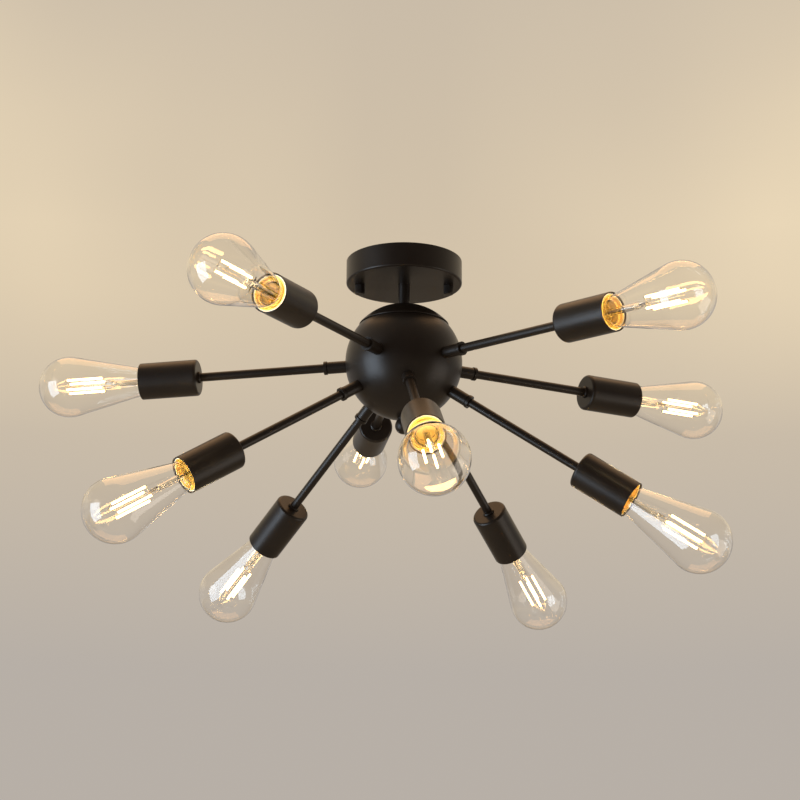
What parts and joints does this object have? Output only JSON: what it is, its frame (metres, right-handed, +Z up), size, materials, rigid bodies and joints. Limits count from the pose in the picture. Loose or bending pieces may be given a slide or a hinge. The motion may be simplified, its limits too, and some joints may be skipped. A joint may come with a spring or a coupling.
{
  "type": "sputnik chandelier",
  "caption": "Ceiling light with a round canopy and a ball hub from which straight rods radiate in staggered rings, each ending in a metal cup with a clear screw-in filament bulb.",
  "frame": {"origin": "centre of the ceiling mounting plane, in the middle of the bracket's screw line", "axes": "+Z up into the ceiling, X along the bracket and through both thumb nuts, -Y towards the picture's camera"},
  "size_m": [0.7335, 0.7317, 0.3418],
  "materials": {
    "black_metal": "satin",
    "plated_steel": "zinc plated",
    "white_ceramic": "glazed",
    "white_plastic": "matt",
    "brass": "polished",
    "clear_glass": "clear",
    "filament": "glowing"
  },
  "bodies": {
    "root": {"canopy": "black_metal", "ceiling_bracket": "plated_steel", "bracket_studs": "plated_steel", "terminal_block": "white_plastic", "stem_sleeve": "black_metal", "centre_tube": "plated_steel", "tube_nuts": "plated_steel", "ball": "black_metal", "ball_cap": "black_metal", "arm_couplings": "black_metal", "coupling_nuts": "plated_steel", "upper_rods": "black_metal", "lower_rods": "black_metal", "cup_nuts": "black_metal", "socket_bodies": "white_ceramic", "socket_shells": "brass", "socket_contacts": "brass", "cup_01": "black_metal", "cup_02": "black_metal", "cup_03": "black_metal", "cup_04": "black_metal", "cup_05": "black_metal", "cup_06": "black_metal", "cup_07": "black_metal", "cup_08": "black_metal", "cup_09": "black_metal", "cup_10": "black_metal"},
    "left_nut": {"thumb_nut_left": "black_metal"},
    "right_nut": {"thumb_nut_right": "black_metal"},
    "end_knob": {"finial": "black_metal"},
    "bulb_01_cap": {"bulb_01_base": "brass"},
    "bulb_01_lamp": {"bulb_01_glass": "clear_glass", "bulb_01_filament": "filament"},
    "bulb_02_cap": {"bulb_02_base": "brass"},
    "bulb_02_lamp": {"bulb_02_glass": "clear_glass", "bulb_02_filament": "filament"},
    "bulb_03_cap": {"bulb_03_base": "brass"},
    "bulb_03_lamp": {"bulb_03_glass": "clear_glass", "bulb_03_filament": "filament"},
    "bulb_04_cap": {"bulb_04_base": "brass"},
    "bulb_04_lamp": {"bulb_04_glass": "clear_glass", "bulb_04_filament": "filament"},
    "bulb_05_cap": {"bulb_05_base": "brass"},
    "bulb_05_lamp": {"bulb_05_glass": "clear_glass", "bulb_05_filament": "filament"},
    "bulb_06_cap": {"bulb_06_base": "brass"},
    "bulb_06_lamp": {"bulb_06_glass": "clear_glass", "bulb_06_filament": "filament"},
    "bulb_07_cap": {"bulb_07_base": "brass"},
    "bulb_07_lamp": {"bulb_07_glass": "clear_glass", "bulb_07_filament": "filament"},
    "bulb_08_cap": {"bulb_08_base": "brass"},
    "bulb_08_lamp": {"bulb_08_glass": "clear_glass", "bulb_08_filament": "filament"},
    "bulb_09_cap": {"bulb_09_base": "brass"},
    "bulb_09_lamp": {"bulb_09_glass": "clear_glass", "bulb_09_filament": "filament"},
    "bulb_10_cap": {"bulb_10_base": "brass"},
    "bulb_10_lamp": {"bulb_10_glass": "clear_glass", "bulb_10_filament": "filament"}
  },
  "joints": [
    {"name": "left_nut_travel", "type": "slide", "parent": "root", "child": "left_nut", "axis": [0, 0, -1], "range_m": [0, 0.006]},
    {"name": "right_nut_travel", "type": "slide", "parent": "root", "child": "right_nut", "axis": [0, 0, -1], "range_m": [0, 0.006]},
    {"name": "end_knob_travel", "type": "slide", "parent": "root", "child": "end_knob", "axis": [0, 0, -1], "range_m": [0, 0.008]},
    {"name": "bulb_01_travel", "type": "slide", "parent": "root", "child": "bulb_01_cap", "axis": [0.8995, 0.4368, -0.014], "range_m": [0, 0.02]},
    {"name": "bulb_01_turn", "type": "hinge", "parent": "bulb_01_cap", "child": "bulb_01_lamp", "pos_m": [0.21992, 0.10679, -0.11241], "axis": [0.8995, 0.4368, -0.014], "range_deg": [0, 1980]},
    {"name": "bulb_02_travel", "type": "slide", "parent": "root", "child": "bulb_02_cap", "axis": [-0.1442, 0.9888, -0.0384], "range_m": [0, 0.02]},
    {"name": "bulb_02_turn", "type": "hinge", "parent": "bulb_02_cap", "child": "bulb_02_lamp", "pos_m": [-0.03527, 0.24176, -0.11839], "axis": [-0.1442, 0.9888, -0.0384], "range_deg": [0, 1980]},
    {"name": "bulb_03_travel", "type": "slide", "parent": "root", "child": "bulb_03_cap", "axis": [-0.9889, 0.1443, -0.0349], "range_m": [0, 0.02]},
    {"name": "bulb_03_turn", "type": "hinge", "parent": "bulb_03_cap", "child": "bulb_03_lamp", "pos_m": [-0.24179, 0.03527, -0.11753], "axis": [-0.9889, 0.1443, -0.0349], "range_deg": [0, 1980]},
    {"name": "bulb_04_travel", "type": "slide", "parent": "root", "child": "bulb_04_cap", "axis": [-0.4442, -0.8949, -0.0419], "range_m": [0, 0.02]},
    {"name": "bulb_04_turn", "type": "hinge", "parent": "bulb_04_cap", "child": "bulb_04_lamp", "pos_m": [-0.10862, -0.21881, -0.11924], "axis": [-0.4442, -0.8949, -0.0419], "range_deg": [0, 1980]},
    {"name": "bulb_05_travel", "type": "slide", "parent": "root", "child": "bulb_05_cap", "axis": [0.7078, -0.7054, -0.0384], "range_m": [0, 0.02]},
    {"name": "bulb_05_turn", "type": "hinge", "parent": "bulb_05_cap", "child": "bulb_05_lamp", "pos_m": [0.17306, -0.17246, -0.11839], "axis": [0.7078, -0.7054, -0.0384], "range_deg": [0, 1980]},
    {"name": "bulb_06_travel", "type": "slide", "parent": "root", "child": "bulb_06_cap", "axis": [0.8117, -0.1637, -0.5606], "range_m": [0, 0.02]},
    {"name": "bulb_06_turn", "type": "hinge", "parent": "bulb_06_cap", "child": "bulb_06_lamp", "pos_m": [0.19847, -0.04002, -0.24608], "axis": [0.8117, -0.1637, -0.5606], "range_deg": [0, 1980]},
    {"name": "bulb_07_travel", "type": "slide", "parent": "root", "child": "bulb_07_cap", "axis": [0.4281, 0.7042, -0.5664], "range_m": [0, 0.02]},
    {"name": "bulb_07_turn", "type": "hinge", "parent": "bulb_07_cap", "child": "bulb_07_lamp", "pos_m": [0.10468, 0.17217, -0.24749], "axis": [0.4281, 0.7042, -0.5664], "range_deg": [0, 1980]},
    {"name": "bulb_08_travel", "type": "slide", "parent": "root", "child": "bulb_08_cap", "axis": [-0.5459, 0.6214, -0.5621], "range_m": [0, 0.02]},
    {"name": "bulb_08_turn", "type": "hinge", "parent": "bulb_08_cap", "child": "bulb_08_lamp", "pos_m": [-0.13347, 0.15192, -0.24643], "axis": [-0.5459, 0.6214, -0.5621], "range_deg": [0, 1980]},
    {"name": "bulb_09_travel", "type": "slide", "parent": "root", "child": "bulb_09_cap", "axis": [-0.7603, -0.3757, -0.5299], "range_m": [0, 0.02]},
    {"name": "bulb_09_turn", "type": "hinge", "parent": "bulb_09_cap", "child": "bulb_09_lamp", "pos_m": [-0.18588, -0.09187, -0.23857], "axis": [-0.7603, -0.3757, -0.5299], "range_deg": [0, 1980]},
    {"name": "bulb_10_travel", "type": "slide", "parent": "root", "child": "bulb_10_cap", "axis": [0.0749, -0.8557, -0.512], "range_m": [0, 0.02]},
    {"name": "bulb_10_turn", "type": "hinge", "parent": "bulb_10_cap", "child": "bulb_10_lamp", "pos_m": [0.0183, -0.20922, -0.23419], "axis": [0.0749, -0.8557, -0.512], "range_deg": [0, 1980]}
  ],
  "couplings": [
    {"joint": "bulb_01_travel", "follows": "bulb_01_turn", "m_per_rad": 0.00057757},
    {"joint": "bulb_02_travel", "follows": "bulb_02_turn", "m_per_rad": 0.00057757},
    {"joint": "bulb_03_travel", "follows": "bulb_03_turn", "m_per_rad": 0.00057757},
    {"joint": "bulb_04_travel", "follows": "bulb_04_turn", "m_per_rad": 0.00057757},
    {"joint": "bulb_05_travel", "follows": "bulb_05_turn", "m_per_rad": 0.00057757},
    {"joint": "bulb_06_travel", "follows": "bulb_06_turn", "m_per_rad": 0.00057757},
    {"joint": "bulb_07_travel", "follows": "bulb_07_turn", "m_per_rad": 0.00057757},
    {"joint": "bulb_08_travel", "follows": "bulb_08_turn", "m_per_rad": 0.00057757},
    {"joint": "bulb_09_travel", "follows": "bulb_09_turn", "m_per_rad": 0.00057757},
    {"joint": "bulb_10_travel", "follows": "bulb_10_turn", "m_per_rad": 0.00057757}
  ]
}
